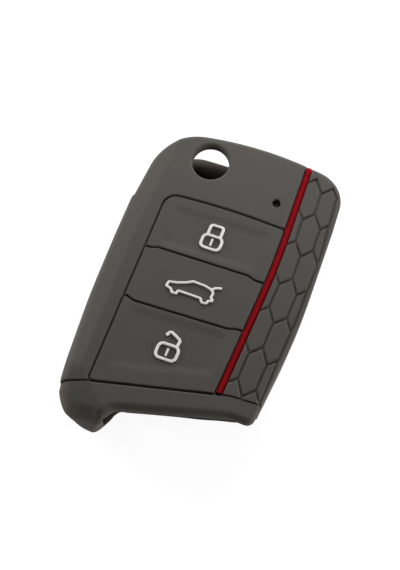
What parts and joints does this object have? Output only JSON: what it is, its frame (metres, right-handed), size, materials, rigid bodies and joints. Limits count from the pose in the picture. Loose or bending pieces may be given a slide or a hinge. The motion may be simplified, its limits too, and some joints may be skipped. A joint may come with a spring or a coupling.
{
  "type": "key fob cover",
  "caption": "soft silicone sleeve for a folding car key, with an open mouth, blade slot, round release opening, pressable pads with raised symbols, a red inlaid stripe and a honeycomb side panel",
  "frame": {"origin": "centre of the bounding box, at the height of the flat back the cover lies on", "axes": "+X across the face towards the honeycomb panel, +Y along the length towards the end with the release opening, +Z out of the front with the buttons"},
  "size_m": [0.0488, 0.0776, 0.0163],
  "materials": {
    "silicone": "matte dark grey silicone with a fine dusty grain",
    "red_silicone": "matte deep red silicone, poured into its channel",
    "white_silicone": "matte off-white silicone, raised on the pads"
  },
  "bodies": {
    "sleeve": {"sleeve": "silicone", "button_web": "silicone", "red_stripe": "red_silicone"},
    "lock_button": {"lock_pad": "silicone", "lock_icon": "white_silicone", "lock_keyhole": "white_silicone"},
    "trunk_button": {"trunk_pad": "silicone", "trunk_icon": "white_silicone"},
    "unlock_button": {"unlock_pad": "silicone", "unlock_icon": "white_silicone", "unlock_keyhole": "white_silicone"}
  },
  "joints": [
    {"name": "press_lock", "type": "slide", "parent": "sleeve", "child": "lock_button", "axis": [0, 0, -1], "range_m": [0, 0.0008], "stiffness_N_per_m": 2500},
    {"name": "press_trunk", "type": "slide", "parent": "sleeve", "child": "trunk_button", "axis": [0, 0, -1], "range_m": [0, 0.0008], "stiffness_N_per_m": 2500},
    {"name": "press_unlock", "type": "slide", "parent": "sleeve", "child": "unlock_button", "axis": [0, 0, -1], "range_m": [0, 0.0008], "stiffness_N_per_m": 2500}
  ]
}
